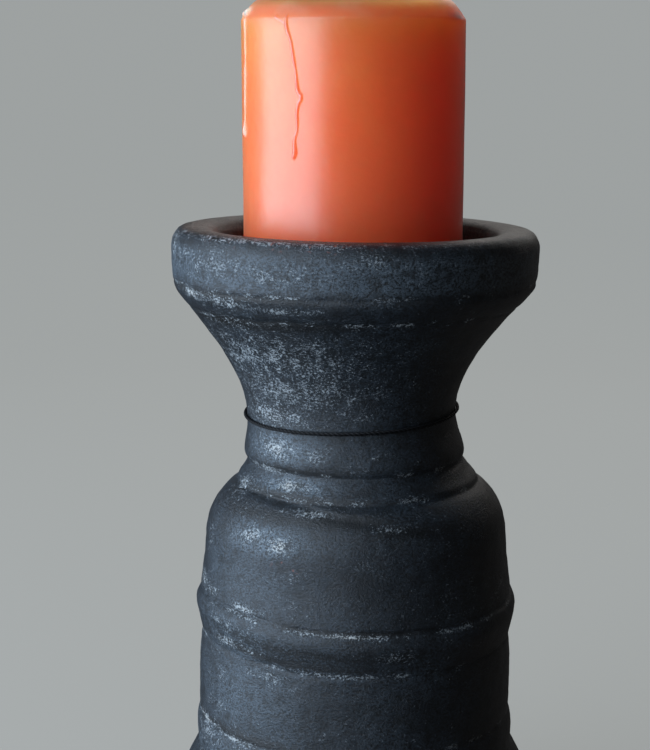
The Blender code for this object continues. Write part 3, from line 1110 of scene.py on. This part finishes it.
def candle_outline():
    """(radius, z) of every ring: the pool, the shoulder, the side, the base and the wick's bore."""
    top = CANDLE_TOP_Z
    pool_floor = top - POOL_DEPTH
    pool = smooth_run(
        (
            (BORE_RADIUS, pool_floor + POOL_MIDDLE_RISE),
            (POOL_MIDDLE * POOL_FLOOR_RADIUS, pool_floor),
            (POOL_FLOOR_RADIUS, pool_floor + POOL_EDGE_RISE),
            (0.5 * (POOL_FLOOR_RADIUS + POOL_RADIUS), top - 0.5 * POOL_DEPTH),
            (POOL_RADIUS, top - POOL_LIP_DROP),
            (CANDLE_RADIUS - SHOULDER[-1][0], top),
        )
    )
    shoulder_points = [(CANDLE_RADIUS - inset, top - drop) for inset, drop in reversed(SHOULDER)]
    shoulder = evenly(smooth_run(shoulder_points), SHOULDER_SPACING)
    base_radius = CANDLE_RADIUS - CANDLE_TAPER
    edge = quarter_arc((base_radius - BASE_EDGE, CANDLE_BASE_Z + BASE_EDGE), BASE_EDGE, 0, -90, 5)
    runs_end = (CANDLE_RADIUS - 0.0001, RIM_Z + RUNS_END)
    upper_side = evenly([shoulder[-1], runs_end], RUNS_SPACING)
    lower_side = evenly([runs_end, edge[0]], PLAIN_SPACING)
    recess_top = CANDLE_BASE_Z + TAB_RECESS_DEPTH
    tube_top = CANDLE_BASE_Z + TAB_TUBE_DEPTH
    recess = evenly([(TAB_RECESS_RADIUS, CANDLE_BASE_Z), (TAB_RECESS_RADIUS, recess_top)], TAB_RECESS_DEPTH)
    bore = np.array([(TAB_TUBE_BORE, recess_top), (TAB_TUBE_BORE, tube_top), (BORE_RADIUS, tube_top)])
    under = evenly([edge[-1], (TAB_RECESS_RADIUS + 0.0004, CANDLE_BASE_Z)], UNDER_SPACING)
    return chained(evenly(pool, POOL_SPACING), shoulder, upper_side, lower_side, edge, under, recess, bore)


def candle_angles():
    """Segment angles, close together where wax has run down the side."""
    coarse, fine = 1.6, 0.33
    stretches = (
        (-180, -92, coarse),
        (-92, -66, fine),
        (-66, -47, coarse),
        (-47, -22, fine),
        (-22, 180, coarse),
    )
    return np.concatenate([np.arange(low, high, step) for low, high, step in stretches])


def run_profile(angle, height, run, half_width, thickness, bead):
    """How far a dried run stands off the wax: a rounded ridge that ends in a bead."""
    line = refined(np.array([(math.radians(a) * CANDLE_RADIUS, h, 0.0) for a, h in run]), RUN_STEPS)[:, :2]
    across = np.radians(angle) * CANDLE_RADIUS
    low, high = line.min(0) - RUN_REACH, line.max(0) + RUN_REACH
    near = (across > low[0]) & (across < high[0]) & (height > low[1]) & (height < high[1])
    places = np.stack([across[near], height[near]], axis=1)
    gaps = np.linalg.norm(places[:, None] - line[None], axis=2)
    nearest = gaps.argmin(1)
    along = nearest / (len(line) - 1)
    swelling = 1 + RUN_UNEVENNESS * np.sin(along * 21) * np.sin(along * 8 + 1)
    swelling = swelling + (bead - 1) * bell(along, BEAD_PLACE, BEAD_REACH)
    width = half_width * swelling
    ridge = np.zeros(len(angle))
    share = np.clip(gaps.min(1) / (RUN_SKIRT * width), 0, 1)
    ridge[near] = thickness * swelling * (1 - share**2) ** 1.5
    return ridge


def wax_runs(angle, height):
    """Height of all the dried runs over the candle's side."""
    runs = (
        run_profile(angle, height, MAIN_RUN, RUN_HALF_WIDTH, RUN_HEIGHT, 1.35),
        run_profile(angle, height, SIDE_BRANCH, 0.8 * RUN_HALF_WIDTH, 0.7 * RUN_HEIGHT, 1.0),
        run_profile(angle, height, LEFT_RUN, 0.9 * RUN_HALF_WIDTH, RUN_HEIGHT, 1.9),
        run_profile(angle, height, SPILL, 1.9 * RUN_HALF_WIDTH, 1.5 * RUN_HEIGHT, 1.0),
    )
    return np.maximum.reduce(runs)


def make_candle(material):
    outline = candle_outline()
    angles = candle_angles()
    shape = (len(outline), len(angles))
    radius = np.broadcast_to(outline[:, :1], shape).ravel()
    z = np.broadcast_to(outline[:, 1:], shape).ravel()
    angle = np.broadcast_to(angles, shape).ravel()
    turn = np.radians(angle)
    height = z - RIM_Z
    true = np.stack([radius * np.sin(turn), -radius * np.cos(turn), z], axis=1)

    outer = ease(radius, POOL_RADIUS, CANDLE_RADIUS - 0.001)
    softened = outer * ease(height, *SOFT_WAX)
    sag = noise_field(true, SAG_SIZE, SEED["sag"]) * SAG_HEIGHT * softened
    swell = SWELL_HEIGHT * noise_field(true, SWELL_SIZE, SEED["swell"])
    swell = swell * outer * ease(height, -0.010, 0.0)
    pool = (1 - outer) * ease(height, 0.055, 0.060) * ease(radius, 0.003, 0.012)
    ripple = RIPPLE_HEIGHT * noise_field(true, RIPPLE_SIZE, SEED["ripple"]) * pool
    runs = wax_runs(angle, height) * outer
    real_radius = radius + swell + runs + 0.4 * sag
    points = np.stack(
        [real_radius * np.sin(turn) + CANDLE_SHIFT, -real_radius * np.cos(turn), z + sag + ripple], axis=1
    )
    vertices, faces = skin(points.reshape(*shape, 3), closed=True)
    candle = make_object("pillar_candle_wax", vertices, faces, material)

    set_attribute(candle.data, "wax_run", ease(runs, 0.00005, 0.00025))
    # The wax is painted lighter at the top as glow from the light above, and darker lower down as shade.
    set_attribute(candle.data, "painted_top_glow", ease(height, *PAINTED_GLOW_HEIGHTS))
    spilt = soft_spot(angle, height, SPILL_BLOOM)
    dust = DUST * softened * ease(noise_field(true, DUST_SIZE, SEED["dust"]), 0.1, 0.5)
    set_attribute(candle.data, "bloom", np.clip(spilt + dust, 0, 1))
    # The softened top is made duller and painted darker as shade.
    set_attribute(candle.data, "dulled_and_shaded", softened * (1 - pool))
    mark = soft_spot(angle, height, SOOT_MARK)
    near_wick = WICK_SOOT * bell(radius, 0.0, WICK_SOOT_RADIUS) * (height > 0.05)
    set_attribute(candle.data, "soot", np.maximum(mark, near_wick))
    return candle


def wick_path():
    stem_top = CANDLE_TOP_Z - POOL_DEPTH + WICK_RISE
    whole_turn = math.radians(WICK_CURL)
    curl_start = stem_top - WICK_CURL_RADIUS * math.sin(whole_turn)
    stem = [(0.0, 0.0, z) for z in np.linspace(CANDLE_BASE_Z, curl_start, 8)[:-1]]
    curl = []
    for turn in np.linspace(0, whole_turn, 9):
        across = WICK_CURL_RADIUS * (1 - math.cos(turn))
        curl.append((across, 0.0, curl_start + WICK_CURL_RADIUS * math.sin(turn)))
    return np.array(stem + curl)


def make_wick(material):
    line = refined(wick_path(), WICK_STEPS)
    vertices, faces = twisted_strands(line, *WICK_TWIST)
    frayed = ease(vertices[:, 2], CANDLE_TOP_Z, CANDLE_TOP_Z + FRAY_REACH)
    for axis in range(3):
        vertices[:, axis] += FRAY * frayed * noise_field(vertices, FRAY_SIZE, SEED["fray"] + 5 * axis)
    return make_object("candle_wick_braid", vertices, faces, material)


# --- Felt pads ---


def make_felt_pad(number, material):
    """A punched felt disc with a softened, slightly fuzzy edge."""
    top = quarter_arc((PAD_RADIUS - PAD_EDGE, PAD_THICKNESS - PAD_EDGE), PAD_EDGE, 90, 0, 5)
    bottom = quarter_arc((PAD_RADIUS - PAD_EDGE, PAD_EDGE), PAD_EDGE, 0, -90, 5)
    upper = evenly([(PAD_SPACING, PAD_THICKNESS), top[0]], PAD_SPACING)
    lower = evenly([bottom[-1], (PAD_SPACING, 0.0)], PAD_SPACING)
    vertices, faces = skin(turned(chained(upper, top, bottom, lower), PAD_SIDES))
    fuzz = noise_field(vertices + number, FUZZ_SIZE, SEED["fuzz"])
    at_edge = ease(np.linalg.norm(vertices[:, :2], axis=1), PAD_RADIUS - FUZZ_REACH, PAD_RADIUS)
    vertices[:, :2] *= (1 + FUZZ * fuzz * at_edge)[:, None]
    pad = make_object(f"felt_pad_{number}_felt", vertices, [face[::-1] for face in faces], material)
    bearing = 2 * math.pi * (number - 0.5) / PAD_COUNT
    pad.location = (PAD_RING_RADIUS * math.cos(bearing), PAD_RING_RADIUS * math.sin(bearing), 0.0)
    return pad


# --- Stage ---


def make_stage():
    """A pale floor that curves up into a plain wall all round. Only the camera sees it."""
    bend_radius = STAGE_RADIUS - STAGE_FLAT_RADIUS
    flat = evenly([(STAGE_MIDDLE_RADIUS, 0.0), (STAGE_FLAT_RADIUS, 0.0)], 0.2)
    bend = quarter_arc((STAGE_FLAT_RADIUS, bend_radius), bend_radius, -90, 0, 16)
    wall = evenly([bend[-1], (STAGE_RADIUS, STAGE_HEIGHT)], 0.3)
    outline = chained(flat, bend, wall)
    vertices = turned(outline, STAGE_SIDES).reshape(-1, 3)
    faces = ring_faces(len(outline), STAGE_SIDES) + [tuple(range(STAGE_SIDES))]
    material, tree, shader = new_material("pale_floor", Roughness=0.9, Emission_Strength=0.33)
    cloud = noise_texture(tree, object_coordinates(tree), size=0.6, detail=2.0)
    colour = mixed(tree, cloud, *STAGE_GREY)
    tree.links.new(colour, shader.inputs["Base Color"])
    shader.inputs["Emission Color"].default_value = STAGE_GLOW
    floor = make_object("studio_floor", vertices, faces, material)
    floor.visible_diffuse = False
    floor.visible_glossy = False
    floor.visible_transmission = False
    floor.visible_shadow = False


def add_area_light(name, angle, distance, rise, size, power, colour):
    """A soft light aimed at the middle of the object."""
    light = bpy.data.lights.new(name, "AREA")
    light.shape = "RECTANGLE"
    light.size, light.size_y = size
    light.energy = power
    light.color = colour
    lamp = bpy.data.objects.new(name, light)
    turn = math.radians(angle)
    target = Vector((0.0, 0.0, AIM * RIM_Z))
    lamp.location = Vector((distance * math.sin(turn), -distance * math.cos(turn), target.z + rise))
    lamp.rotation_euler = (target - lamp.location).to_track_quat("-Z", "Y").to_euler()
    lamp.visible_camera = False
    bpy.context.scene.collection.objects.link(lamp)


def make_lights():
    for light in LIGHTS:
        add_area_light(*light)
    world = bpy.data.worlds.new("studio")
    world.use_nodes = True
    background = world.node_tree.nodes["Background"]
    background.inputs["Color"].default_value = FILL_COLOUR
    background.inputs["Strength"].default_value = FILL_LIGHT
    bpy.context.scene.world = world


def make_camera():
    camera = bpy.data.cameras.new("camera")
    camera.lens = LENS_MM
    camera.clip_start = 0.01
    viewer = bpy.data.objects.new("camera", camera)
    viewer.location = (-CAMERA_LEFT, -CAMERA_DISTANCE, RIM_Z + CAMERA_ABOVE_RIM)
    viewer.rotation_euler = (math.radians(90 - CAMERA_PITCH), 0.0, 0.0)
    bpy.context.scene.collection.objects.link(viewer)
    bpy.context.scene.camera = viewer
    bpy.context.scene.view_settings.view_transform = "Standard"


# --- Assembly ---


def place_on(piece, body, slot, *nodes):
    """The piece moves with the body and stands for the CAD nodes. The slot is not used."""
    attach(piece, body)
    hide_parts(*nodes)


def main():
    make_camera()
    make_lights()
    make_stage()

    place_on(make_holder(ceramic_material()), "holder", "slate_ceramic", "holder_body")

    cord_finish = cord_material()
    path = cord_path()
    cord = make_cord(path, cord_finish)
    knot = make_knot(cord_finish)
    place_on(cord, "holder", "black_cord", "neck_cord")
    place_on(knot, "holder", "black_cord", "neck_cord_knot")

    felt = felt_material()
    for number in range(1, PAD_COUNT + 1):
        place_on(make_felt_pad(number, felt), "holder", "grey_felt", f"felt_pad_{number}")

    place_on(make_candle(wax_material()), "candle", "orange_wax", "pillar_candle")
    place_on(make_wick(wick_material()), "candle", "burnt_cotton", "candle_wick")
    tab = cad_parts["wick_sustainer"]
    tab.material_slots[0].material = tin_material()


main()
